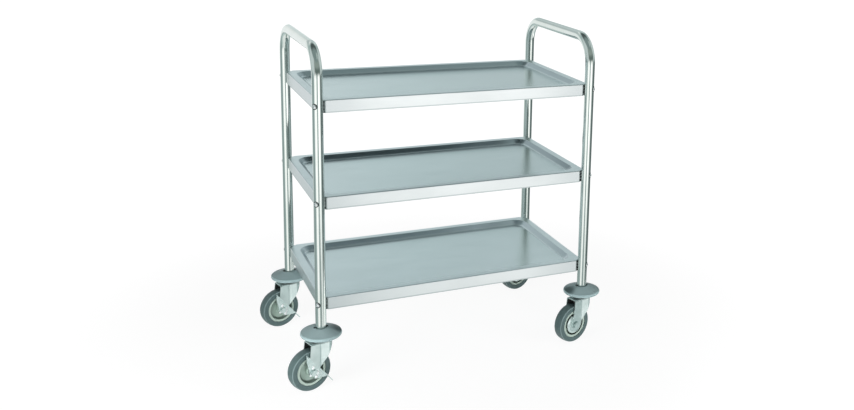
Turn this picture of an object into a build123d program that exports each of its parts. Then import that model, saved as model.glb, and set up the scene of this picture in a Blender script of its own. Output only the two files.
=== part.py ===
from build123d import *
import os
from math import atan2, cos, radians, sin, sqrt, tan

# Three-tier stainless service cart on four swivel castors, in millimetres, +Z up.
# X runs along the trays, and the front long side faces -Y.
# The origin is on the floor, under the middle of the cart's overall box.

# Tube frame: two end frames, each one bent tube with two legs and a handle
tube_diameter = 25.0
tube_wall = 1.2
leg_spacing_x = 685.0
leg_spacing_y = 380.0
handle_height = 807.0
handle_bend = 65.0

# Trays: the height of the lower rims above the floor, the top rim's drop below the handle,
# then the shape that all three share
bottom_tray_level = 218.0
middle_tray_level = 463.0
top_tray_drop = 116.0
sheet = 1.0
apron_height = 30.0
apron_bend = 2.0
apron_corner = 2.5
rim_width = 19.0
well_depth = 11.0
well_slope_run = 12.0
well_corner = 35.0
well_lip_bend = 2.5
well_floor_bend = 5.0

# Corner fixings: a moulded saddle between tube and tray, and a bolt right through
saddle_web = 0.4
saddle_depth = 2.0
saddle_width = 18.0
saddle_height = 27.0
saddle_inset = 1.5
bolt_drop = 12.0
bolt_diameter = 6.0
bolt_head_diameter = 10.5
bolt_head_rise = 2.4
bolt_head_skirt = 0.4
bolt_tail = 1.8
washer_diameter = 14.0
washer_thickness = 1.2
nut_width = 10.0
nut_height = 5.0

# Leg ends and bumpers
insert_length = 40.0
insert_flange = 2.0
bumper_diameter = 96.0
bumper_rim = 9.5
bumper_rim_rise = 8.0
bumper_hub_diameter = 50.0
bumper_seat = 10.0
bumper_collar_height = 22.5
bumper_collar_wall = 2.8

# Castors, measured from the floor and the swivel axis
castor_turn = 16.0
castor_trail = 32.0
fork_plate = 2.5
fork_top = 116.5
fork_nose = 26.0
fork_tail = 34.0
fork_bend = 4.0
fork_boss_diameter = 20.0
fork_chin_height = 110.0
fork_cheek_reach = 9.0
fork_cheek_height = 79.0
swivel_gap = 4.5
race_diameter = 42.0
race_thickness = 4.0
race_skirt = 1.5
ball_circle_diameter = 29.0
ball_count = 16
cage_width = 7.0
cage_thickness = 1.4
kingpin_diameter = 10.0
kingpin_head_diameter = 20.0
kingpin_head_height = 4.0
stem_diameter = 12.0
stem_length = 46.0

# Wheels and axles
wheel_diameter = 100.0
tyre_width = 26.0
tyre_crown = 1.5
tyre_shoulder = 2.0
wheel_side_gap = 2.0
rim_diameter = 73.0
rim_width_at_lip = 24.5
rim_lip = 6.5
rim_lip_round = 2.0
rim_web = 9.0
rim_slope = 3.0
hub_diameter = 24.0
hub_end_gap = 0.5
bush_wall = 2.0
sleeve_diameter = 12.0
axle_diameter = 8.0
axle_head_width = 13.0
axle_head_height = 5.3
axle_nut_height = 7.5
axle_tail = 1.5
guard_diameter = 50.0
guard_thickness = 1.0
guard_dish = 2.5
guard_dish_run = 5.0
axle_washer_diameter = 18.0

# Side brake on the two left castors: reaches run from the axle towards the toe
brake_tilt = 51.0
brake_plate = 1.8
brake_cam_diameter = 18.0
brake_cam_thickness = 2.5
brake_pedal_rise = 16.5
brake_pedal_width = 12.0
brake_pedal_corner = 4.0
brake_bend = 2.5
brake_heel_reach = -47.5
brake_waist_reach = -34.5
brake_waist_rise = 6.0
brake_keel_reach = 1.0
brake_keel_drop = 11.5
brake_notch_reach = 7.5
brake_notch_drop = 4.5
brake_lobe_reach = 14.0
brake_lobe_drop = 8.5
brake_shin_reach = 31.0
brake_shin_rise = 9.0
brake_plate_reach = 37.0
brake_toe_reach = 52.0

# Clearances
seat_fit = 0.05
socket_fit = 1.0
hole_fit = 0.2
running_fit = 0.04
running_gap = 0.3

tube_radius = tube_diameter / 2
wheel_radius = wheel_diameter / 2
fork_gap = tyre_width + 2 * wheel_side_gap
fork_half = fork_gap / 2 + fork_plate
castor_top = fork_top + swivel_gap + race_thickness
leg_end = castor_top + bumper_seat + insert_flange
top_tray_level = handle_height - top_tray_drop
corner_reach = tube_radius + saddle_web
hub_half = fork_gap / 2 - guard_thickness - hub_end_gap
bush_diameter = sleeve_diameter + 2 * running_fit + 2 * bush_wall
lever_face = fork_half + brake_cam_thickness + running_gap

# The wheels trail towards -X, so the legs stand off-centre in the overall box
turn = radians(castor_turn)
trailing_reach = (castor_trail + wheel_radius) * cos(turn) + tyre_width / 4 * sin(turn)
box_shift = (trailing_reach - bumper_diameter / 2) / 2

legs = {"front_left": (-1, -1), "back_left": (-1, 1), "front_right": (1, -1), "back_right": (1, 1)}
braked = ("front_left", "back_left")
tray_levels = {
    "bottom_tray": bottom_tray_level, "middle_tray": middle_tray_level, "top_tray": top_tray_level,
}
upwards = (Align.CENTER, Align.CENTER, Align.MIN)
downwards = (Align.CENTER, Align.CENTER, Align.MAX)


def leg_place(side):
    """The leg's centreline in plan."""
    return box_shift + side[0] * leg_spacing_x / 2, side[1] * leg_spacing_y / 2


def corner_plane(side, level):
    """At a leg, facing diagonally outwards, with its X up."""
    x, y = leg_place(side)
    return Plane(origin=(x, y, level), x_dir=(0, 0, 1), z_dir=(side[0], side[1], 0))


def castor_plane(side):
    """On the floor under a leg, with its X along the trail and its Y towards the brake side."""
    x, y = leg_place(side)
    return Plane(origin=(x, y, 0), x_dir=(-cos(turn), -sin(turn), 0), z_dir=(0, 0, 1))


def upright_plane(castor):
    """Through the swivel axis, with its X along the trail and its Y up."""
    return Plane(origin=castor.origin, x_dir=castor.x_dir, z_dir=-castor.y_dir)


def axle_plane(castor):
    """Through the axle, with its X along it and its Y up."""
    centre = castor.from_local_coords((castor_trail, 0, wheel_radius))
    return Plane(origin=centre, x_dir=castor.y_dir, z_dir=castor.x_dir)


def axle_face(castor, reach):
    """Across the axle, facing the brake side, at a reach from the wheel's middle."""
    centre = castor.from_local_coords((castor_trail, reach, wheel_radius))
    return Plane(origin=centre, x_dir=castor.x_dir, z_dir=castor.y_dir)


def write(builder, node):
    builder.part.label = node
    export_step(builder.part, f"parts/{node}.step")


def end_frame(node, end):
    """One bent tube: two legs and the handle between them, drilled for the tray bolts."""
    x = box_shift + end * leg_spacing_x / 2
    y = leg_spacing_y / 2
    with BuildPart() as frame:
        with BuildLine():
            FilletPolyline(
                (x, -y, leg_end), (x, -y, handle_height), (x, y, handle_height), (x, y, leg_end),
                radius=handle_bend,
            )
        with BuildSketch(Plane(origin=(x, -y, leg_end))):
            Circle(tube_radius)
            Circle(tube_radius - tube_wall, mode=Mode.SUBTRACT)
        sweep()
        for side in legs.values():
            if side[0] == end:
                with Locations(*[corner_plane(side, level - bolt_drop) for level in tray_levels.values()]):
                    Cylinder(bolt_diameter / 2 + hole_fit, 2 * tube_diameter, mode=Mode.SUBTRACT)
    write(frame, node)


def well_block(level, spread):
    """The hollow of a tray's well, or the outside of its sheet when it is spread."""
    length = leg_spacing_x - 2 * rim_width + 2 * spread
    width = leg_spacing_y - 2 * rim_width + 2 * spread
    corner = well_corner + spread
    with BuildPart() as block:
        with BuildSketch(Plane.XY.offset(level)):
            with Locations((box_shift, 0)):
                RectangleRounded(length, width, corner)
        with BuildSketch(Plane.XY.offset(level - well_depth)):
            with Locations((box_shift, 0)):
                RectangleRounded(
                    length - 2 * well_slope_run, width - 2 * well_slope_run, corner - well_slope_run
                )
        loft()
    return block.part


def flat_at(builder, level):
    """The flat face that lies at a level."""
    margin = sheet / 10
    flats = builder.faces().filter_by(Axis.Z)
    return flats.filter_by_position(Axis.Z, level - margin, level + margin)[0]


def tray(node, level):
    """A pressed tray: cut corners, a turned-down apron and a sunk well inside a flat rim."""
    # The sheet keeps its thickness through the well's bends if its underside spreads by this
    spread = sheet * tan(atan2(well_depth, well_slope_run) / 2)
    well_floor = level - well_depth
    with BuildPart() as pan:
        with BuildSketch(Plane.XY.offset(level)) as outline:
            with Locations((box_shift, 0)):
                Rectangle(leg_spacing_x, leg_spacing_y)
            chamfer(outline.vertices(), corner_reach * sqrt(2))
            fillet(outline.vertices(), apron_corner)
        extrude(amount=-apron_height)
        fillet(flat_at(pan, level).edges(), apron_bend)
        offset(amount=-sheet, openings=flat_at(pan, level - apron_height))
        add(well_block(level - sheet, spread))
        add(well_block(level, 0), mode=Mode.SUBTRACT)
        fillet(flat_at(pan, level).inner_wires()[0].edges(), well_lip_bend)
        fillet(flat_at(pan, well_floor).edges(), well_floor_bend)
        fillet(flat_at(pan, well_floor - sheet).edges(), well_floor_bend + sheet)
        for side in legs.values():
            with Locations(corner_plane(side, level - bolt_drop).offset(-corner_reach)):
                Cylinder(bolt_diameter / 2 + hole_fit, 4 * sheet, mode=Mode.SUBTRACT)
    write(pan, node)


def leg_saddle():
    """A moulded block, hollowed to the tube, that backs the tray's cut corner."""
    with BuildPart() as saddle:
        with Locations((bolt_drop - saddle_inset, 0, -corner_reach)):
            Box(saddle_height, saddle_width, saddle_depth, align=(Align.MAX, Align.CENTER, Align.MIN))
        Cylinder(tube_radius + seat_fit, 2 * saddle_height, rotation=(0, 90, 0), mode=Mode.SUBTRACT)
        Cylinder(bolt_diameter / 2 + hole_fit, 2 * tube_diameter, mode=Mode.SUBTRACT)
    return saddle.part


def tray_bolt():
    """A domed bolt whose head is hollowed underneath to sit on the tube."""
    head = bolt_head_diameter / 2
    skirt = tube_radius + bolt_head_skirt
    crown = tube_radius + bolt_head_rise
    tail = corner_reach + sheet + washer_thickness + nut_height + bolt_tail
    with BuildPart() as bolt:
        with BuildSketch(Plane.XZ):
            with BuildLine():
                Polyline((0, crown), (0, 0), (head, 0), (head, skirt))
                RadiusArc((head, skirt), (0, crown), -(head**2 + (crown - skirt)**2) / (2 * (crown - skirt)))
            make_face()
        revolve(axis=Axis.Z)
        Cylinder(tube_radius + seat_fit, 2 * tube_diameter, rotation=(0, 90, 0), mode=Mode.SUBTRACT)
        with Locations((0, 0, -tail)):
            Cylinder(bolt_diameter / 2, tail + skirt, align=upwards)
    return bolt.part


def tray_washer():
    with BuildPart() as washer:
        with BuildSketch(Plane.XY.offset(-corner_reach - sheet)):
            Circle(washer_diameter / 2)
            Circle(bolt_diameter / 2 + hole_fit, mode=Mode.SUBTRACT)
        extrude(amount=-washer_thickness)
    return washer.part


def tray_nut():
    with BuildPart() as nut:
        with BuildSketch(Plane.XY.offset(-corner_reach - sheet - washer_thickness)):
            RegularPolygon(nut_width / 2, 6, major_radius=False)
            Circle(bolt_diameter / 2 + seat_fit, mode=Mode.SUBTRACT)
        extrude(amount=-nut_height)
    return nut.part


def corner_group(node, piece):
    """The same piece at every leg and every tray."""
    levels = [level - bolt_drop for level in tray_levels.values()]
    with BuildPart() as group:
        with Locations(*[corner_plane(side, level) for side in legs.values() for level in levels]):
            add(piece)
    write(group, node)


def leg_inserts():
    """Flanged plugs pressed into the leg ends, each bored for a castor stem."""
    with BuildPart() as inserts:
        with Locations(*[(*leg_place(side), leg_end) for side in legs.values()]):
            Cylinder(tube_radius - tube_wall - seat_fit, insert_length, align=upwards)
            Cylinder(tube_radius, insert_flange, align=downwards)
            Cylinder(stem_diameter / 2 + seat_fit, 3 * insert_length, mode=Mode.SUBTRACT)
    write(inserts, "leg_inserts")


def bumper(node, castor):
    """A soft disc round the leg's end: a round rim, a coned top and a socket for the tube."""
    half_rim = bumper_rim / 2
    rim_reach = bumper_diameter / 2 - half_rim
    rim_top = castor_top + bumper_rim_rise + half_rim
    rim_under = castor_top + bumper_rim_rise - half_rim
    bore = stem_diameter / 2 + hole_fit
    socket = tube_radius + socket_fit
    collar = castor_top + bumper_collar_height
    with BuildPart() as disc:
        with BuildSketch(upright_plane(castor)):
            with BuildLine():
                Polyline(
                    (rim_reach, rim_under),
                    (bumper_hub_diameter / 2, rim_under),
                    (bumper_hub_diameter / 2, castor_top),
                    (bore, castor_top),
                    (bore, castor_top + bumper_seat),
                    (socket, castor_top + bumper_seat),
                    (socket, collar),
                    (socket + bumper_collar_wall, collar),
                    (rim_reach, rim_top),
                )
                ThreePointArc(
                    (rim_reach, rim_top), (bumper_diameter / 2, rim_under + half_rim), (rim_reach, rim_under)
                )
            make_face()
        revolve(axis=Axis(castor.origin, castor.z_dir))
    write(disc, node)


def castor_stem(node, castor):
    """The stem that goes up into the leg, with the upper race and the kingpin under it."""
    race_under = fork_top + swivel_gap
    skirt_end = fork_top + swivel_gap / 4
    head_top = fork_top - fork_plate - running_gap
    with BuildPart() as stem:
        with BuildSketch(upright_plane(castor)):
            with BuildLine():
                Polyline(
                    (0, head_top - kingpin_head_height),
                    (kingpin_head_diameter / 2, head_top - kingpin_head_height),
                    (kingpin_head_diameter / 2, head_top),
                    (kingpin_diameter / 2, head_top),
                    (kingpin_diameter / 2, race_under),
                    (race_diameter / 2 - race_skirt, race_under),
                    (race_diameter / 2 - race_skirt, skirt_end),
                    (race_diameter / 2, skirt_end),
                    (race_diameter / 2, castor_top),
                    (stem_diameter / 2, castor_top),
                    (stem_diameter / 2, castor_top + stem_length),
                    (0, castor_top + stem_length),
                    close=True,
                )
            make_face()
        revolve(axis=Axis(castor.origin, castor.z_dir))
    write(stem, node)


def swivel_bearing(node, castor):
    """A ring of balls in a flat cage, between the fork's crown and the upper race."""
    middle = castor.offset(fork_top + swivel_gap / 2)
    with BuildPart() as bearing:
        with BuildSketch(middle):
            Circle((ball_circle_diameter + cage_width) / 2)
            Circle((ball_circle_diameter - cage_width) / 2, mode=Mode.SUBTRACT)
        extrude(amount=cage_thickness / 2, both=True)
        with Locations(middle):
            with PolarLocations(ball_circle_diameter / 2, ball_count):
                Sphere(swivel_gap / 2 - running_gap)
    write(bearing, node)


def fork_block(castor, inset):
    """The outside of the fork's bent plate, or its hollow when it is inset: open past the tail."""
    half = fork_half - inset
    with BuildPart() as block:
        with BuildSketch(castor.offset(fork_top - inset)):
            with Locations((fork_half - fork_nose, 0)):
                Circle(half)
                Rectangle(2 * wheel_diameter, 2 * half, align=(Align.MIN, Align.CENTER))
        extrude(amount=-fork_top)
        fillet(block.faces().sort_by(Axis.Z)[-1].edges(), fork_bend - inset)
    return block.part


def fork(node, castor):
    """A pressed fork: a crown over the wheel, a round nose and two legs that taper to the axle."""
    with BuildPart() as yoke:
        add(fork_block(castor, 0))
        add(fork_block(castor, fork_plate), mode=Mode.SUBTRACT)
        with BuildSketch(upright_plane(castor)):
            with BuildLine():
                Polyline(
                    (fork_tail, fork_top),
                    (-fork_nose, fork_top),
                    (-fork_nose, fork_chin_height),
                    (-fork_cheek_reach, fork_cheek_height),
                )
                CenterArc((castor_trail, wheel_radius), fork_boss_diameter / 2, 0, 360)
            make_hull()
        extrude(amount=fork_half, both=True, mode=Mode.INTERSECT)
        with Locations(castor.offset(fork_top)):
            Cylinder(kingpin_diameter / 2 + running_fit, 4 * fork_plate, mode=Mode.SUBTRACT)
        with Locations(axle_face(castor, 0)):
            Cylinder(axle_diameter / 2 + seat_fit, 4 * fork_half, mode=Mode.SUBTRACT)
    write(yoke, node)


def axle_rings(node, castor, outer, inner, starts, length):
    """Plain rings on the axle, one from each start towards the brake side."""
    with BuildPart() as rings:
        for start in starts:
            with BuildSketch(axle_face(castor, start)):
                Circle(outer / 2)
                Circle(inner / 2, mode=Mode.SUBTRACT)
            extrude(amount=length)
    write(rings, node)


def axle_bolt(node, castor, head_start):
    """A hexagon bolt right through the fork, with its head on the brake side."""
    shank = head_start + fork_half + axle_nut_height + axle_tail
    with BuildPart() as bolt:
        with BuildSketch(axle_face(castor, head_start)):
            RegularPolygon(axle_head_width / 2, 6, major_radius=False)
        extrude(amount=axle_head_height)
        with BuildSketch(axle_face(castor, head_start)):
            Circle(axle_diameter / 2)
        extrude(amount=-shank)
    write(bolt, node)


def axle_nut(node, castor):
    with BuildPart() as nut:
        with BuildSketch(axle_face(castor, -fork_half)):
            RegularPolygon(axle_head_width / 2, 6, major_radius=False)
            Circle(axle_diameter / 2 + seat_fit, mode=Mode.SUBTRACT)
        extrude(amount=-axle_nut_height)
    write(nut, node)


def mirrored(points):
    """The points of one half of a wheel's profile, and then those of the other half."""
    return points + [(-along, out) for along, out in reversed(points)]


def thread_guards(node, castor):
    """Two dished discs that keep threads out of the hub."""
    face = fork_gap / 2
    bore = axle_diameter / 2 + seat_fit
    edge = guard_diameter / 2
    axle = axle_plane(castor)
    with BuildPart() as guards:
        for way in (1, -1):
            with BuildSketch(axle):
                with BuildLine():
                    Polyline(
                        (way * face, bore),
                        (way * face, edge - guard_dish_run),
                        (way * (face - guard_dish), edge),
                        (way * (face - guard_dish - guard_thickness), edge),
                        (way * (face - guard_thickness), edge - guard_dish_run),
                        (way * (face - guard_thickness), bore),
                        close=True,
                    )
                make_face()
            revolve(axis=Axis(axle.origin, axle.x_dir))
    write(guards, node)


def tyre(node, castor):
    """A solid tyre with a crowned tread and rounded shoulders."""
    axle = axle_plane(castor)
    side = tyre_width / 2
    seat = rim_diameter / 2
    shoulder = wheel_radius - tyre_crown
    with BuildPart() as tread:
        with BuildSketch(axle) as profile:
            with BuildLine():
                Polyline((side, shoulder), (side, seat), (-side, seat), (-side, shoulder))
                ThreePointArc((-side, shoulder), (0, wheel_radius), (side, shoulder))
            make_face()
            fillet(profile.vertices().group_by(Axis.Y)[-1], tyre_shoulder)
        revolve(axis=Axis(axle.origin, axle.x_dir))
    write(tread, node)


def rim(node, castor):
    """A moulded centre: a rounded lip inside the tyre, a sunk web and a hub."""
    axle = axle_plane(castor)
    seat = rim_diameter / 2 - seat_fit
    lip = rim_width_at_lip / 2
    lip_inside = rim_diameter / 2 - rim_lip
    with BuildPart() as centre:
        with BuildSketch(axle) as profile:
            with BuildLine():
                Polyline(
                    mirrored([
                        (lip, seat),
                        (lip, lip_inside),
                        (rim_web / 2, lip_inside - rim_slope),
                        (rim_web / 2, hub_diameter / 2),
                        (hub_half, hub_diameter / 2),
                        (hub_half, bush_diameter / 2 + seat_fit),
                    ]),
                    close=True,
                )
            make_face()
            across = profile.vertices().group_by(Axis.X)
            fillet(across[1] + across[-2], rim_lip_round)
        revolve(axis=Axis(axle.origin, axle.x_dir))
    write(centre, node)


def brake_lever(node, castor):
    """A plate beside the fork with a pedal bent out along its upper edge."""
    tilt = radians(brake_tilt)
    toe_way = castor.x_dir * -cos(tilt) - castor.z_dir * sin(tilt)
    hinge = castor.from_local_coords((castor_trail, lever_face, wheel_radius))
    face = Plane(origin=hinge, x_dir=toe_way, z_dir=castor.y_dir)
    with BuildPart() as lever:
        with BuildSketch(face):
            with BuildLine():
                Polyline(
                    (brake_heel_reach, brake_pedal_rise),
                    (brake_waist_reach, brake_waist_rise),
                    (brake_keel_reach, -brake_keel_drop),
                    (brake_notch_reach, -brake_notch_drop),
                    (brake_lobe_reach, -brake_lobe_drop),
                    (brake_shin_reach, brake_shin_rise),
                    (brake_plate_reach, brake_pedal_rise),
                    close=True,
                )
            make_face()
            Circle(axle_diameter / 2 + running_fit, mode=Mode.SUBTRACT)
        extrude(amount=brake_plate)
        with BuildSketch(face):
            with Locations((brake_heel_reach, brake_pedal_rise)):
                Rectangle(brake_toe_reach - brake_heel_reach, brake_plate, align=(Align.MIN, Align.MAX))
        extrude(amount=brake_pedal_width)
        pedal_ends = lever.edges().filter_by(Axis(hinge, face.y_dir)).group_by(Axis(hinge, face.z_dir))[-1]
        fillet(pedal_ends, brake_pedal_corner)
        upper = lever.edges().filter_by(Axis(hinge, face.x_dir)).group_by(Axis(hinge, face.y_dir))[-1]
        fillet(upper.group_by(Axis(hinge, face.z_dir))[0], brake_bend)
    write(lever, node)


def castor_set(place, castor):
    """Everything below one leg."""
    bumper(f"{place}_bumper", castor)
    castor_stem(f"{place}_castor_stem", castor)
    swivel_bearing(f"{place}_swivel_bearing", castor)
    fork(f"{place}_fork", castor)
    axle_nut(f"{place}_axle_nut", castor)
    axle_bore = axle_diameter + 2 * seat_fit
    sleeve_end = fork_gap / 2 - guard_thickness
    axle_rings(
        f"{place}_axle_sleeve", castor, sleeve_diameter, axle_bore, [-sleeve_end], 2 * sleeve_end
    )
    axle_rings(
        f"{place}_bush", castor, bush_diameter, sleeve_diameter + 2 * running_fit, [-hub_half], 2 * hub_half
    )
    tyre(f"{place}_tyre", castor)
    rim(f"{place}_rim", castor)
    if place in braked:
        axle_bolt(f"{place}_axle_bolt", castor, lever_face + brake_plate + running_gap)
        axle_rings(
            f"{place}_axle_washers", castor, axle_washer_diameter, axle_bore,
            [sleeve_end, -fork_gap / 2], guard_thickness,
        )
        axle_rings(
            f"{place}_brake_cam", castor, brake_cam_diameter, axle_bore, [fork_half], brake_cam_thickness
        )
        brake_lever(f"{place}_brake_lever", castor)
    else:
        axle_bolt(f"{place}_axle_bolt", castor, fork_half)
        thread_guards(f"{place}_thread_guards", castor)


os.makedirs("parts", exist_ok=True)
end_frame("left_end_frame", -1)
end_frame("right_end_frame", 1)
for tray_node, tray_level in tray_levels.items():
    tray(tray_node, tray_level)
corner_group("leg_saddles", leg_saddle())
corner_group("tray_bolts", tray_bolt())
corner_group("tray_washers", tray_washer())
corner_group("tray_nuts", tray_nut())
leg_inserts()
for leg, leg_side in legs.items():
    castor_set(leg, castor_plane(leg_side))
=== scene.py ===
import math

import bpy
from mathutils import Matrix, Vector


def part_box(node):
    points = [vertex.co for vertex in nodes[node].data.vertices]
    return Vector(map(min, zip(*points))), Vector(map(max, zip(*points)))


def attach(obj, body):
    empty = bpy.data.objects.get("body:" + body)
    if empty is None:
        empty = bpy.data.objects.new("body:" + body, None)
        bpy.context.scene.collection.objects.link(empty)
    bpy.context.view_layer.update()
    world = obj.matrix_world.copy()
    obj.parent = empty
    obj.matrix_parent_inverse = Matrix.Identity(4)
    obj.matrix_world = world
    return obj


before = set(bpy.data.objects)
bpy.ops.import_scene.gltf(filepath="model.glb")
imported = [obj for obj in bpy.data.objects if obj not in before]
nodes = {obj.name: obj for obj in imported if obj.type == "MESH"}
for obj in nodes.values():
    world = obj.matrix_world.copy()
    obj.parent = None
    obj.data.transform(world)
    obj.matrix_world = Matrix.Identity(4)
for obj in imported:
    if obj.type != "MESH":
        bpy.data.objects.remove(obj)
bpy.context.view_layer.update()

places = ("front_left", "back_left", "front_right", "back_right")
braked = places[:2]
trays = ("top_tray", "middle_tray", "bottom_tray")

# Sizes that the finishes and the added pieces follow. Lengths are in metres
well_depth = 0.011
tube_radius = 0.0125
bolt_drop = 0.012
castor_turn = math.radians(16)
castor_trail = 0.032
axle_height = 0.050
lever_front = 0.0221
brake_tilt = math.radians(51)
lever_rib_lean = math.radians(30)
saddle_rib_pitch = 0.008

# The legs stand at the middle of each end frame's box, a tube's radius inside its ends
leg_rows = [(low.x + high.x) / 2 for low, high in (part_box("left_end_frame"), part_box("right_end_frame"))]
leg_middle = sum(leg_rows) / 2
leg_half_length = leg_rows[1] - leg_middle
leg_half_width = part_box("left_end_frame")[1].y - tube_radius

# From a leg towards its axle, and along the axle towards the brake's side
trail_way = Vector((-math.cos(castor_turn), -math.sin(castor_turn), 0))
brake_way = Vector((math.sin(castor_turn), -math.cos(castor_turn), 0))

# The Mix node's sockets for colours, which share their names with those for numbers
mix_first, mix_second, mix_result = 6, 7, 2


class Field:
    """A socket of a finish, used as a number in its shader maths."""

    def __init__(self, finish, socket):
        self.finish = finish
        self.socket = socket

    def __add__(self, other):
        return self.finish.maths("ADD", self, other)

    def __radd__(self, other):
        return self.finish.maths("ADD", other, self)

    def __sub__(self, other):
        return self.finish.maths("SUBTRACT", self, other)

    def __rsub__(self, other):
        return self.finish.maths("SUBTRACT", other, self)

    def __mul__(self, other):
        return self.finish.maths("MULTIPLY", self, other)

    def __rmul__(self, other):
        return self.finish.maths("MULTIPLY", other, self)

    def __truediv__(self, other):
        return self.finish.maths("DIVIDE", self, other)

    def __pow__(self, other):
        return self.finish.maths("POWER", self, other)

    def __abs__(self):
        return self.finish.maths("ABSOLUTE", self)

    def __gt__(self, other):
        return self.finish.maths("GREATER_THAN", self, other)

    def between(self, low, high):
        """0 below low, 1 above high, and a smooth step from one to the other."""
        return self.finish.add("ShaderNodeMapRange", {"interpolation_type": "SMOOTHSTEP"},
                               {"Value": self, "From Min": low, "From Max": high})


class Finish:
    """A surface worked out by nodes, of a material or of the world."""

    def __init__(self, owner):
        self.owner = owner
        owner.use_nodes = True
        self.tree = owner.node_tree
        self.tree.nodes.clear()

    def add(self, kind, settings=None, inputs=None, output=0):
        """Adds a node: first its settings, then the values or links of its sockets.

        Gives the output of that number or name, or a list of them for a tuple."""
        node = self.tree.nodes.new(kind)
        for name, value in (settings or {}).items():
            if name == "stops":
                ramp = node.color_ramp.elements
                while len(ramp) < len(value):
                    ramp.new(1)
                for stop, (position, colour) in zip(ramp, value):
                    stop.position = position
                    stop.color = colour
            else:
                setattr(node, name, value)
        for name, value in (inputs or {}).items():
            if isinstance(value, Field):
                self.tree.links.new(value.socket, node.inputs[name])
            else:
                node.inputs[name].default_value = value
        if isinstance(output, tuple):
            return [Field(self, node.outputs[name]) for name in output]
        return Field(self, node.outputs[output]) if node.outputs else None

    def maths(self, operation, *values):
        return self.add("ShaderNodeMath", {"operation": operation}, dict(enumerate(values)))

    def place(self):
        """The point on the piece, in metres, which goes with the piece as it moves."""
        return self.add("ShaderNodeTexCoord", output="Object")

    def facing(self):
        """The piece's own surface direction, split into X, Y and Z."""
        return self.split(self.add("ShaderNodeTexCoord", output="Normal"))

    def split(self, vector):
        return self.add("ShaderNodeSeparateXYZ", inputs={0: vector}, output=(0, 1, 2))

    def from_leg(self):
        """The place measured from the axis of the leg that it is near: lengthwise, crosswise and up."""
        x, y, z = self.split(self.place())
        return (x - leg_middle - self.maths("SIGN", x - leg_middle) * leg_half_length,
                y - self.maths("SIGN", y) * leg_half_width, z)

    def from_axle(self):
        """How far out from the axle, and how far to the side of the wheel's middle."""
        x, y, z = self.from_leg()
        back = x * trail_way.x + y * trail_way.y - castor_trail
        height = z - axle_height
        return (back * back + height * height) ** 0.5, abs(x * brake_way.x + y * brake_way.y)

    def stretch(self, vector, x, y, z):
        return self.add("ShaderNodeVectorMath", {"operation": "MULTIPLY"}, {0: vector, 1: (x, y, z)})

    def grain(self, vector, size, detail=3, rough=0.5):
        """Noise from 0 to 1 whose lumps are about size metres across."""
        return self.add("ShaderNodeTexNoise", inputs={"Vector": vector, "Scale": 1 / size, "Detail": detail,
                                                      "Roughness": rough})

    def blend(self, share, first, second):
        """The first colour where share is 0, the second where it is 1."""
        first, second = (shade if isinstance(shade, Field) else (*shade, 1) for shade in (first, second))
        return self.add("ShaderNodeMix", {"data_type": "RGBA"},
                        {"Factor": share, mix_first: first, mix_second: second}, mix_result)

    def bump(self, height, depth):
        """Relief of that depth in metres, for heights from 0 to 1."""
        return self.add("ShaderNodeBump", inputs={"Height": height, "Distance": depth, "Strength": 1})

    def surface(self, **sockets):
        """Ends the finish in one principled shader, whose Base Color is called base_color and so on."""
        inputs = {name.replace("_", " ").title().replace("Ior", "IOR"): value
                  for name, value in sockets.items()}
        return self.end(self.add("ShaderNodeBsdfPrincipled", inputs=inputs))

    def end(self, shader, kind="Material"):
        self.add(f"ShaderNodeOutput{kind}", inputs={"Surface": shader})
        return self.owner


def finish(name):
    return Finish(bpy.data.materials.new(name))


def satin_tube():
    """Stainless tube, ground round and round and then polished."""
    f = finish("satin_tube")
    at = f.place()
    rings = f.grain(f.stretch(at, 1, 1, 12), size=0.004, detail=4, rough=0.6)
    handled = f.grain(at, size=0.05)
    colour = f.blend(handled.between(0.3, 0.7), (0.79, 0.84, 0.81), (0.74, 0.80, 0.76))
    return f.surface(base_color=colour, metallic=1.0, roughness=0.07 + rings * 0.05 + handled * 0.03,
                     normal=f.bump(rings, depth=0.00002))


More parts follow.
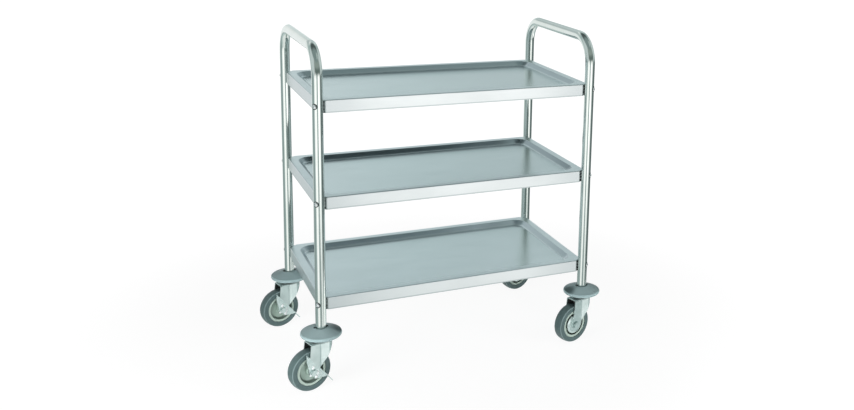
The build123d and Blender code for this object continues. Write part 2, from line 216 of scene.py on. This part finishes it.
def brushed_tray(tray, well_side_shade, below):
    """Stainless sheet, brushed lengthwise before it was pressed and folded. A darker band is painted at the
    apron's foot, a painted reflection of its hem.

    The sides of the well, drawn down by the press, are painted darker as shade, the aprons near the legs are
    painted darker as the legs' reflection, and faces that look up are tinted bluer as painted reflection.
    Each tray has its own painted shade for the well's sides and the underside."""
    stroke = 0.012
    hem_edge = (0.0022, 0.0034)
    floor_skin = (0.0008, 0.0020)
    drawn_rise = (-0.001, 0.004)
    leg_reflection_span = (0.18, 0.34)

    f = finish(f"{tray}_steel")
    at = f.place()
    x, _, z = f.split(at)
    across, _, up = f.facing()
    foot, rim = (corner.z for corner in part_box(tray))
    over_floor = z - (rim - well_depth)

    folded_end = abs(across).between(0.6, 0.8)
    lengthwise = f.grain(f.stretch(at, stroke, 1, 1), size=0.0012, detail=4, rough=0.6)
    upright = f.grain(f.stretch(at, 1, 1, stroke), size=0.0012, detail=4, rough=0.6)
    brushing = lengthwise * (1 - folded_end) + upright * folded_end
    wiped = f.grain(f.stretch(at, 0.5, 1, 1), size=0.07)
    smears = wiped.between(0.3, 0.75)

    floor = (1 - abs(over_floor).between(*floor_skin)) * up.between(0.9, 0.99)
    drawn_side_shade = up.between(0.45, 0.65) * (1 - up.between(0.82, 0.94)) * over_floor.between(*drawn_rise)
    underside = (0 - up).between(0.5, 0.9)
    hem_shade = 1 - (z - foot).between(*hem_edge)

    apron = f.blend(smears, (0.80, 0.845, 0.845), (0.76, 0.805, 0.805))
    # Painted reflection: the aprons darker towards the legs, where the legs are reflected
    apron = f.blend(abs(x - leg_middle).between(*leg_reflection_span), apron, (0.68, 0.73, 0.735))
    # Painted reflection: faces that look up are tinted bluer than the aprons
    level = f.blend(smears, (0.765, 0.845, 0.865), (0.725, 0.805, 0.825))
    colour = f.blend(abs(up).between(0.2, 0.5), apron, level)
    # Painted reflection: a darker band at the apron's foot, for its hem
    colour = f.blend(hem_shade, colour, (0.52, 0.58, 0.58))
    # Painted shade: the well's sides and the underside in each tray's own shade
    colour = f.blend(drawn_side_shade, colour, well_side_shade)
    colour = f.blend(underside, colour, below)
    return f.surface(base_color=colour, metallic=1.0,
                     roughness=0.26 + brushing * 0.08 + wiped * 0.04 - floor * 0.10,
                     normal=f.bump(brushing, depth=0.000012))


def zinc_plate():
    """Zinc plated pressed steel: a fine spangle under a clear passivated skin."""
    f = finish("zinc_plate")
    at = f.place()
    spangle = f.grain(at, size=0.004, detail=4, rough=0.65)
    cloud = f.grain(at, size=0.018)
    colour = f.blend(cloud.between(0.3, 0.7), (0.58, 0.71, 0.69), (0.66, 0.77, 0.75))
    return f.surface(base_color=colour, metallic=0.65, roughness=0.17 + spangle * 0.12,
                     normal=f.bump(spangle, depth=0.00003))


def pressed_fork(name, nose_slope):
    """Zinc plated sheet, bent in towards the nose by bump, with painted shade in a ring round its axle bolt.
    Its inside and underside are made duller and painted near black as shade.
    """
    bend_start, bend_length = 0.014, 0.005
    bolt_shade_inside, bolt_shade_outside = (0.0060, 0.0072), (0.0080, 0.0096)
    spangle_depth = 0.00003

    f = finish(name)
    at = f.place()
    x, y, _ = f.from_leg()
    along = x * trail_way.x + y * trail_way.y
    across = x * brake_way.x + y * brake_way.y
    face_x, face_y, face_z = f.facing()
    inside = (0 - across * (face_x * brake_way.x + face_y * brake_way.y)).between(0.001, 0.006)
    dull_and_shaded = f.maths("MAXIMUM", inside, (0 - face_z).between(0.4, 0.7))

    spangle = f.grain(at, size=0.004, detail=4, rough=0.65)
    cloud = f.grain(at, size=0.018)
    plated = f.blend(cloud.between(0.3, 0.7), (0.58, 0.70, 0.68), (0.66, 0.77, 0.75))
    reach, _ = f.from_axle()
    # Painted shade: a dark ring round the axle bolt, where its recess is shaded
    bolt_shade_ring = reach.between(*bolt_shade_inside) * (1 - reach.between(*bolt_shade_outside))
    bolt_shaded = f.blend(bolt_shade_ring * 0.8, plated, (0.10, 0.20, 0.20))
    # Painted shade: the inside and underside near black, where shade falls
    colour = f.blend(dull_and_shaded, bolt_shaded, (0.03, 0.035, 0.035))

    bend = (bend_start - along) / bend_length
    start = f.maths("MINIMUM", f.maths("MAXIMUM", bend, 0), 1)
    fall = (start * start * 0.5 + f.maths("MAXIMUM", bend - 1, 0)) * (nose_slope * bend_length)
    return f.surface(base_color=colour, metallic=0.65 - dull_and_shaded * 0.4,
                     roughness=0.15 + spangle * 0.10 + dull_and_shaded * 0.4,
                     normal=f.bump(spangle * spangle_depth - fall, depth=1))


def bright_bolt():
    """Turned and lightly polished steel."""
    f = finish("bright_bolt")
    turned = f.grain(f.place(), size=0.0015, rough=0.6)
    colour = f.blend(turned, (0.70, 0.74, 0.74), (0.80, 0.82, 0.82))
    return f.surface(base_color=colour, metallic=1.0, roughness=0.2 + turned * 0.1,
                     normal=f.bump(turned, depth=0.00001))


def glint_zinc():
    """Plating painted nearly white, a painted highlight for glints, and smooth."""
    f = finish("glint_zinc")
    glint_streaks = f.grain(f.stretch(f.place(), 1, 1, 4), size=0.003)
    # Painted highlight: the plating nearly white, standing in for glints
    colour = f.blend(glint_streaks, (0.93, 0.95, 0.95), (0.97, 0.98, 0.98))
    return f.surface(base_color=colour, metallic=0.1, roughness=0.25 + glint_streaks * 0.1,
                     normal=f.bump(glint_streaks, depth=0.00002))


def shaded_race():
    """Bearing steel painted near black as the shade in the gap under the bumper, clouded a little."""
    f = finish("shaded_race")
    race_mottle = f.grain(f.place(), size=0.006)
    # Painted shade: near black, for the dark gap under the bumper
    colour = f.blend(race_mottle.between(0.3, 0.7), (0.04, 0.045, 0.045), (0.08, 0.085, 0.085))
    return f.surface(base_color=colour, metallic=1.0, roughness=0.3 + race_mottle * 0.15,
                     normal=f.bump(race_mottle, depth=0.00002))


def shoulder_highlight(f, colour):
    """A painted highlight: a paler line where the tread meets the side."""
    highlight_inside, highlight_outside, shoulder = (0.0468, 0.0480), (0.0490, 0.0497), (0.0105, 0.0118)
    reach, side = f.from_axle()
    # Painted highlight along the tyre's shoulder
    highlight_band = reach.between(*highlight_inside) * (1 - reach.between(*highlight_outside)) * side.between(*shoulder)
    return f.blend(highlight_band * 0.7, colour, (0.26, 0.35, 0.35))


def rim_lip_and_groove_shading(groove_shade):
    """A painted highlight on the lip, and painted shade in the groove inside it."""
    groove_start, lip_start = (0.0235, 0.0275), (0.0296, 0.0304)

    def marks(f, colour):
        reach, _ = f.from_axle()
        lip = reach.between(*lip_start)
        groove = reach.between(*groove_start) * (1 - lip)
        # Painted highlight on the lip and painted shade in the groove
        lip_lit = f.blend(lip, colour, (0.50, 0.62, 0.55))
        return f.blend(groove * groove_shade, lip_lit, (0.015, 0.024, 0.018))
    return marks


def collar_painted_shade(f, colour):
    """Painted shade: two near-black slots on the collar beside the tube, for the gap there, and a dark wedge
    on the half under the trays, where they shade it.
    """
    slot_side, slot_end = (0.0032, 0.0042), (0.0170, 0.0178)
    shade_wedge_bearing, shade_wedge_reach, shade_wedge_facing = (0.76, 0.99), (0.014, 0.036), (0.55, 0.90)
    nearly_none = 0.0001

    x, y, _ = f.from_leg()
    reach = (x * x + y * y) ** 0.5
    # Painted shade: near-black slots beside the tube, for the gap there
    slot_shade = (1 - abs(y).between(*slot_side)) * (1 - reach.between(*slot_end))
    lengthwise, _, _ = f.split(f.place())
    inward = 0 - x * f.maths("SIGN", lengthwise - leg_middle)
    _, _, upward = f.facing()
    # Painted shade: a dark wedge on the inward half, under the trays
    wedge = (inward / (reach + nearly_none)).between(*shade_wedge_bearing)
    tray_shade = wedge * inward.between(*shade_wedge_reach) * upward.between(*shade_wedge_facing)
    tray_shaded = f.blend(tray_shade * 0.85, colour, (0.06, 0.10, 0.10))
    return f.blend(slot_shade, tray_shaded, (0.010, 0.013, 0.013))


def moulding(name, low, high, rough, lump=0.0015, depth=0.00002, shine=0.5, marked=None):
    """Moulded rubber or plastic: a fine leathery skin, clouded a little in its colour."""
    f = finish(name)
    at = f.place()
    cloud = f.grain(at, size=0.03, detail=4)
    skin = f.grain(at, size=lump, rough=0.6)
    scuffs = f.grain(f.stretch(at, 1, 1, 3), size=0.012, detail=5, rough=0.65).between(0.62, 0.8)
    colour = f.blend(cloud.between(0.25, 0.75), low, high)
    if marked:
        colour = marked(f, colour)
    return f.surface(base_color=colour, roughness=rough + skin * 0.08 + scuffs * 0.08,
                     specular_ior_level=shine, normal=f.bump(skin, depth))


def rim_moulding(name, groove_shade):
    return moulding(name, (0.36, 0.48, 0.41), (0.42, 0.54, 0.48), rough=0.38, marked=rim_lip_and_groove_shading(groove_shade))


def ribbed_saddle():
    """Dark moulding with ribs across it, which grip the tube. The ribs are a bump with a painted highlight on
    each.
    """
    f = finish("ribbed_saddle")
    at = f.place()
    _, _, z = f.split(at)
    ribs = f.maths("SINE", z * (2 * math.pi / saddle_rib_pitch)).between(-0.5, 0.9)
    skin = f.grain(at, size=0.0012)
    # Painted highlight: a paler band along each rib
    colour = f.blend(ribs, (0.014, 0.020, 0.021), (0.20, 0.24, 0.24))
    return f.surface(base_color=colour, roughness=0.38 + skin * 0.12, normal=f.bump(ribs, depth=0.0004))


def dress(node, material):
    piece = nodes[node]
    piece.data.materials.clear()
    piece.data.materials.append(material)


tube = satin_tube()
zinc = zinc_plate()
bolt = bright_bolt()
glint_plating = glint_zinc()
race = shaded_race()
saddle = ribbed_saddle()
plain_fork = pressed_fork("plain_fork", nose_slope=0.153)
braked_fork = pressed_fork("braked_fork", nose_slope=0.27)
bumper_rubber = moulding("bumper_rubber", (0.36, 0.49, 0.50), (0.40, 0.53, 0.54), rough=0.40, shine=0.2,
                         marked=collar_painted_shade)
tyre_rubber = moulding("tyre_rubber", (0.088, 0.140, 0.140), (0.108, 0.164, 0.164), rough=0.45,
                       depth=0.00004, marked=shoulder_highlight)
# The two rims differ only in their painted groove shade, which is deeper behind the thread guards
rim_plastic = rim_moulding("rim_plastic", groove_shade=0.72)
guarded_rim = rim_moulding("guarded_rim", groove_shade=0.97)
# Near black, for the rings put as painted shade under the bolt heads
shade_ring_black = moulding("shade_ring_black", (0.012, 0.016, 0.016), (0.022, 0.027, 0.027), rough=0.5, lump=0.0008,
                       depth=0.00003, shine=0.3)

# Painted shade: each tray's well sides and underside, darker or lighter by how light falls on that tray
tray_painted_shades = (((0.53, 0.61, 0.64), (0.34, 0.38, 0.39)),
              ((0.44, 0.515, 0.545), (0.80, 0.84, 0.85)),
              ((0.56, 0.645, 0.675), (0.48, 0.53, 0.54)))

for node in ("left_end_frame", "right_end_frame"):
    dress(node, tube)
for tray, (well_side_shade, below) in zip(trays, tray_painted_shades):
    dress(tray, brushed_tray(tray, well_side_shade, below))
for node in ("tray_bolts", "tray_washers", "tray_nuts"):
    dress(node, bolt)
for node in ("leg_saddles", "leg_inserts"):
    dress(node, saddle)
for place in places:
    dress(f"{place}_bumper", bumper_rubber)
    dress(f"{place}_tyre", tyre_rubber)
    for piece in ("rim", "bush"):
        dress(f"{place}_{piece}", rim_plastic if place in braked else guarded_rim)
    for piece in ("castor_stem", "swivel_bearing", "axle_sleeve"):
        dress(f"{place}_{piece}", race)
    dress(f"{place}_fork", braked_fork if place in braked else plain_fork)
    for piece in ("axle_bolt", "axle_nut"):
        dress(f"{place}_{piece}", zinc)
    for piece in ("axle_washers", "brake_cam", "brake_lever") if place in braked else ("thread_guards",):
        dress(f"{place}_{piece}", zinc)


def circle(steps):
    return [2 * math.pi * i / steps for i in range(steps)]


def loft(first, rounds, steps, closed=False):
    """Faces that join rounds of corners, each of that many steps, whose corners are counted from first."""
    faces = []
    for k in range(rounds if closed else rounds - 1):
        after = (k + 1) % rounds
        for i in range(steps):
            j = (i + 1) % steps
            faces.append([first + steps * a + b for a, b in ((k, i), (k, j), (after, j), (after, i))])
    return faces


def new_piece(name, corners, faces, material):
    mesh = bpy.data.meshes.new(name)
    mesh.from_pydata(corners, [], faces)
    mesh.materials.append(material)
    piece = bpy.data.objects.new(name, mesh)
    bpy.context.scene.collection.objects.link(piece)
    return piece


def cart_piece(name, body, corners, faces, material):
    piece = new_piece(name, corners, faces, material)
    piece.data.polygons.foreach_set("use_smooth", [True] * len(faces))
    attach(piece, body)


def studio_piece(name, corners, faces, material):
    piece = new_piece(name, corners, faces, material)
    return piece


def bolt_shade_rings():
    """A near-black ring under each bolt head, bowed to the tube: a dark piece put as painted shade round the
    head.
    """
    bore, shoulder, edge = 0.00535, 0.0063, 0.0070
    foot, edge_rise, crown = 0.00005, 0.0003, 0.0007
    profile = [(bore, foot), (bore, crown), (shoulder, crown), (edge, edge_rise), (edge, foot)]
    turns = circle(32)
    corners, faces = [], []
    for tray in trays:
        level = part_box(tray)[1].z - bolt_drop
        for row in leg_rows:
            for end in (-1, 1):
                outward = Vector((math.copysign(1, row - leg_middle), end, 0)).normalized()
                aside = Vector((-outward.y, outward.x, 0))
                leg = Vector((row, end * leg_half_width, level))
                faces += loft(len(corners), len(profile), len(turns), closed=True)
                for reach, proud in profile:
                    for turn in turns:
                        wide = reach * math.cos(turn)
                        rise = Vector((0, 0, reach * math.sin(turn)))
                        deep = math.sqrt((tube_radius + proud) ** 2 - wide ** 2)
                        corners.append(leg + aside * wide + outward * deep + rise)
    cart_piece("bolt_shade_rings", "cart_frame", corners, faces, shade_ring_black)


def lever_ribs(place):
    """Pressed ribs across the brake lever, on both sides of its axle bolt, painted nearly white as a
    highlight.
    """
    half_foot, half_crown = 0.0024, 0.0015
    root, foot, crown = -0.0002, 0.0001, 0.0013
    profile = [(-half_foot, root), (-half_foot, foot), (-half_crown, crown),
               (half_crown, crown), (half_foot, foot), (half_foot, root)]
    steps = len(profile)
    end_slope, end_share = 0.001, 0.2
    near_row, far_row = -0.0052, 0.0104
    ribs = [(near_row, -0.0102, -0.0062), (near_row, 0.0062, 0.0155), (far_row, -0.0120, 0.0075)]

    end = -1 if place == "front_left" else 1
    leg = Vector((leg_rows[0], end * leg_half_width, axle_height))
    axle = leg + trail_way * castor_trail + brake_way * lever_front
    toe_way = -trail_way * math.cos(brake_tilt) - Vector((0, 0, math.sin(brake_tilt)))
    rise_way = brake_way.cross(toe_way)
    rib_way = rise_way * math.cos(lever_rib_lean) - toe_way * math.sin(lever_rib_lean)
    side_way = rib_way.cross(brake_way)
    corners, faces = [], []
    for aside, low, high in ribs:
        first = len(corners)
        rounds = [(low, end_share), (low + end_slope, 1), (high - end_slope, 1), (high, end_share)]
        for along, share in rounds:
            for wide, proud in profile:
                on_lever = axle + side_way * (aside + wide) + rib_way * along
                corners.append(on_lever + brake_way * (proud * share))
        faces += loft(first, len(rounds), steps)
        faces.append([first + i for i in reversed(range(steps))])
        faces.append([len(corners) - steps + i for i in range(steps)])
    cart_piece(f"{place}_lever_ribs", f"{place}_brake", corners, faces, glint_plating)


bolt_shade_rings()
for place in braked:
    lever_ribs(place)


def seen_white(f):
    """1 for what the camera, metal and clear pieces see, 0 for the light that falls on the cart."""
    camera, glossy, clear = f.add("ShaderNodeLightPath",
                                  output=("Is Camera Ray", "Is Glossy Ray", "Is Transmission Ray"))
    return (camera + glossy + clear) > 0.5


def studio_floor(reach):
    """A pale floor that keeps the cart's shadow and fades to white away from it."""
    f = finish("floor_paper")
    x, y, _ = f.split(f.place())
    away = ((x * x + y * y) ** 0.5).between(0.5, 1.6)
    paper = f.add("ShaderNodeBsdfDiffuse", inputs={"Color": (0.90, 0.90, 0.90, 1)})
    white = f.add("ShaderNodeEmission", inputs={"Color": (1, 1, 1, 1), "Strength": 1.08})
    share = seen_white(f) * (0.85 + away * 0.15)
    material = f.end(f.add("ShaderNodeMixShader", inputs={0: share, 1: paper, 2: white}))
    corners = [(-reach, -reach, 0), (reach, -reach, 0), (reach, reach, 0), (-reach, reach, 0)]
    floor = studio_piece("studio_floor", corners, [range(len(corners))], material)
    floor.visible_glossy = False


def studio_world(level):
    """Faint light from all round, in front of white."""
    world = bpy.data.worlds.new("studio")
    bpy.context.scene.world = world
    f = Finish(world)
    light = f.add("ShaderNodeBackground", inputs={"Color": (0.97, 1.0, 1.0, 1), "Strength": level})
    white = f.add("ShaderNodeBackground", inputs={"Color": (1, 1, 1, 1), "Strength": 1})
    f.end(f.add("ShaderNodeMixShader", inputs={0: seen_white(f), 1: light, 2: white}), "World")


def studio_tent(reach, height):
    """White sheets and grey cards round the cart, which only its polished pieces show.

    Bearings are in degrees from -Y, the front, towards +X. The sheets hang at eye level, dim towards the
    floor, and end in the paper that the castors stand on."""
    hung = [(-180, 0.80), (-168, 0.92), (-154, 0.92), (-140, 0.55), (-120, 0.36), (-98, 0.36),
            (-84, 0.42), (-73, 0.70), (-64, 1.25), (-30, 1.25), (-23, 0.70), (-18, 0.34), (-9, 0.34),
            (-3, 0.90), (3, 1.46), (28, 1.46), (36, 0.98), (46, 0.50), (56, 0.17), (108, 0.17),
            (125, 0.38), (145, 0.46), (157, 0.50), (165, 0.62), (172, 0.72), (180, 0.80)]
    sunk = [(-180, 0.55), (-150, 0.40), (-134, 0.33), (-100, 0.40), (-84, 0.42), (-75, 0.46),
            (-66, 0.80), (-55, 1.15), (-38, 1.15), (-30, 0.88), (-22, 0.50), (-12, 0.30), (-4, 0.30),
            (5, 0.34), (11, 0.42), (15, 0.75), (20, 1.10), (25, 1.10), (29, 0.92), (36, 0.60),
            (46, 0.32), (56, 0.14), (108, 0.14), (125, 0.35), (145, 0.50), (160, 0.56), (180, 0.60)]
    paper = [(-180, 0.70), (-90, 0.60), (-60, 0.90), (-30, 0.90), (0, 0.80), (30, 0.94), (44, 1.00),
             (53, 0.54), (63, 0.55), (71, 1.50), (86, 1.55), (98, 0.60), (126, 0.50), (180, 0.60)]
    f = finish("tent_sheets")
    x, y, z = (length / reach for length in f.split(f.place()))
    bearing = f.maths("ARCTAN2", x, 0 - y) / (2 * math.pi) + 0.5

    def wall(sheets):
        """The sheets' shades, a little green where they are dim."""
        stops = []
        for angle, shade in sheets:
            whiteness = min(max(shade - 0.6, 0) / 0.4, 1)
            stops.append((angle / 360 + 0.5, (shade * (0.82 + 0.20 * whiteness), shade, shade, 1)))
        return f.add("ShaderNodeValToRGB", {"stops": stops}, {"Fac": bearing})

    # From here on lengths are shares of the tent's reach
    top, bottom, hole = height / reach, -0.7 * height / reach, 0.001
    back = y.between(0.70, 0.90)
    ahead = (0 - y).between(0.35, 0.75)
    beside = abs(x).between(0.70, 0.90)
    roof = z.between(0.90 * top, 0.99 * top)
    skyline = back * (1 - abs(z).between(0.20, 0.30))
    left_card = back * (0 - x).between(-0.05, 0.06) * z.between(0.36, 0.45) * (1 - z.between(0.75, 0.90))
    right_card = back * x.between(0, 0.15) * z.between(0.41, 0.47)
    roof_pane = roof * x.between(0.15, 0.65) * (0 - y).between(0.05, 0.25)
    paper_edge = 0.42 - 0.07 * x.between(0.55, 0.80)
    shade = wall(hung)
    for where, colour in ((skyline, (0.94, 0.96, 0.97)),
                          (left_card, (0.50, 0.56, 0.57)),
                          (right_card, (0.53, 0.60, 0.61)),
                          (right_card * x.between(0.30, 0.50), (0.68, 0.75, 0.76)),
                          (beside * z.between(0.04, 0.14), (0.62, 0.68, 0.69)),
                          (ahead * z.between(0.02, 0.32), (0.14, 0.18, 0.17)),
                          (ahead * z.between(0.40, 0.70), (0.30, 0.35, 0.33)),
                          (z.between(0.60 * top, 0.90 * top), (0.23, 0.29, 0.29)),
                          (roof * y.between(0.05, 0.50), (0.08, 0.10, 0.10)),
                          (roof_pane, (0.52, 0.59, 0.58)),
                          ((0 - z).between(0.14, 0.40), wall(sunk)),
                          ((0 - z - paper_edge).between(0, 0.04), wall(paper)),
                          ((0 - z).between(0.75, 1.00), (0.90, 0.92, 0.92))):
        shade = f.blend(where, shade, colour)
    material = f.end(f.add("ShaderNodeEmission", inputs={"Color": shade, "Strength": 1}))

    turns = circle(72)
    rounds = [(hole, bottom), (1, bottom), (1, top), (hole, top)]
    corners = [Vector((out * math.sin(turn), -out * math.cos(turn), level)) * reach
               for out, level in rounds for turn in turns]
    tent = studio_piece("studio_tent", corners, loft(0, len(rounds), len(turns)), material)
    tent.visible_camera = False
    tent.visible_diffuse = False
    tent.visible_shadow = False


def soft_lamp(name, place, aim, width, height, power):
    """A lamp behind a sheet of that width and height. Polished pieces don't show it."""
    lamp = bpy.data.lights.new(name, "AREA")
    lamp.shape = "RECTANGLE"
    lamp.size = width
    lamp.size_y = height
    lamp.energy = power
    holder = bpy.data.objects.new(name, lamp)
    bpy.context.scene.collection.objects.link(holder)
    holder.visible_glossy = False
    holder.location = place
    holder.rotation_euler = (Vector(aim) - Vector(place)).to_track_quat("-Z", "Y").to_euler()


studio_floor(reach=12)
studio_world(level=0.07)
studio_tent(reach=6, height=9)
soft_lamp("left_lamp", (-1.25, -0.75, 0.40), (-0.35, -0.15, 0.1), width=0.5, height=0.4, power=11)
soft_lamp("right_lamp", (1.05, -1.05, 0.40), (0.35, -0.2, 0.1), width=0.5, height=0.4, power=4.5)
soft_lamp("front_lamp", (0.3, -2.7, 0.25), (0, 0, 0.15), width=1.0, height=0.5, power=24)
soft_lamp("back_lamp", (0.2, 2.7, 0.25), (0, 0, 0.1), width=1.0, height=0.5, power=20)
soft_lamp("roof_lamp", (0, -0.25, 2.6), (0, 0, 0.1), width=1.2, height=1.0, power=4)


def photo_camera(place, yaw, pitch, roll, focal, middle, picture=(854, 410)):
    """The photograph's viewpoint. Angles are in radians, focal and middle in the picture's pixels."""
    ahead = Vector((-math.sin(yaw) * math.cos(pitch), math.cos(yaw) * math.cos(pitch), -math.sin(pitch)))
    level = Vector((math.cos(yaw), math.sin(yaw), 0))
    upward = level.cross(ahead)
    right = level * math.cos(roll) + upward * math.sin(roll)
    upward = upward * math.cos(roll) - level * math.sin(roll)
    lens = bpy.data.cameras.new("photo_camera")
    lens.sensor_width = 36
    lens.lens = focal / picture[0] * lens.sensor_width
    lens.shift_x = (picture[0] / 2 - middle[0]) / picture[0]
    lens.shift_y = (middle[1] - picture[1] / 2) / picture[0]
    holder = bpy.data.objects.new("photo_camera", lens)
    bpy.context.scene.collection.objects.link(holder)
    holder.matrix_world = Matrix.Translation(place) @ Matrix((right, upward, -ahead)).transposed().to_4x4()
    bpy.context.scene.camera = holder


photo_camera((-0.79795, -2.41207, 1.18140), yaw=-0.474520, pitch=0.200350, roll=0.037930, focal=1002.074,
             middle=(583.7, 90.9))
bpy.context.scene.view_settings.view_transform = "Standard"
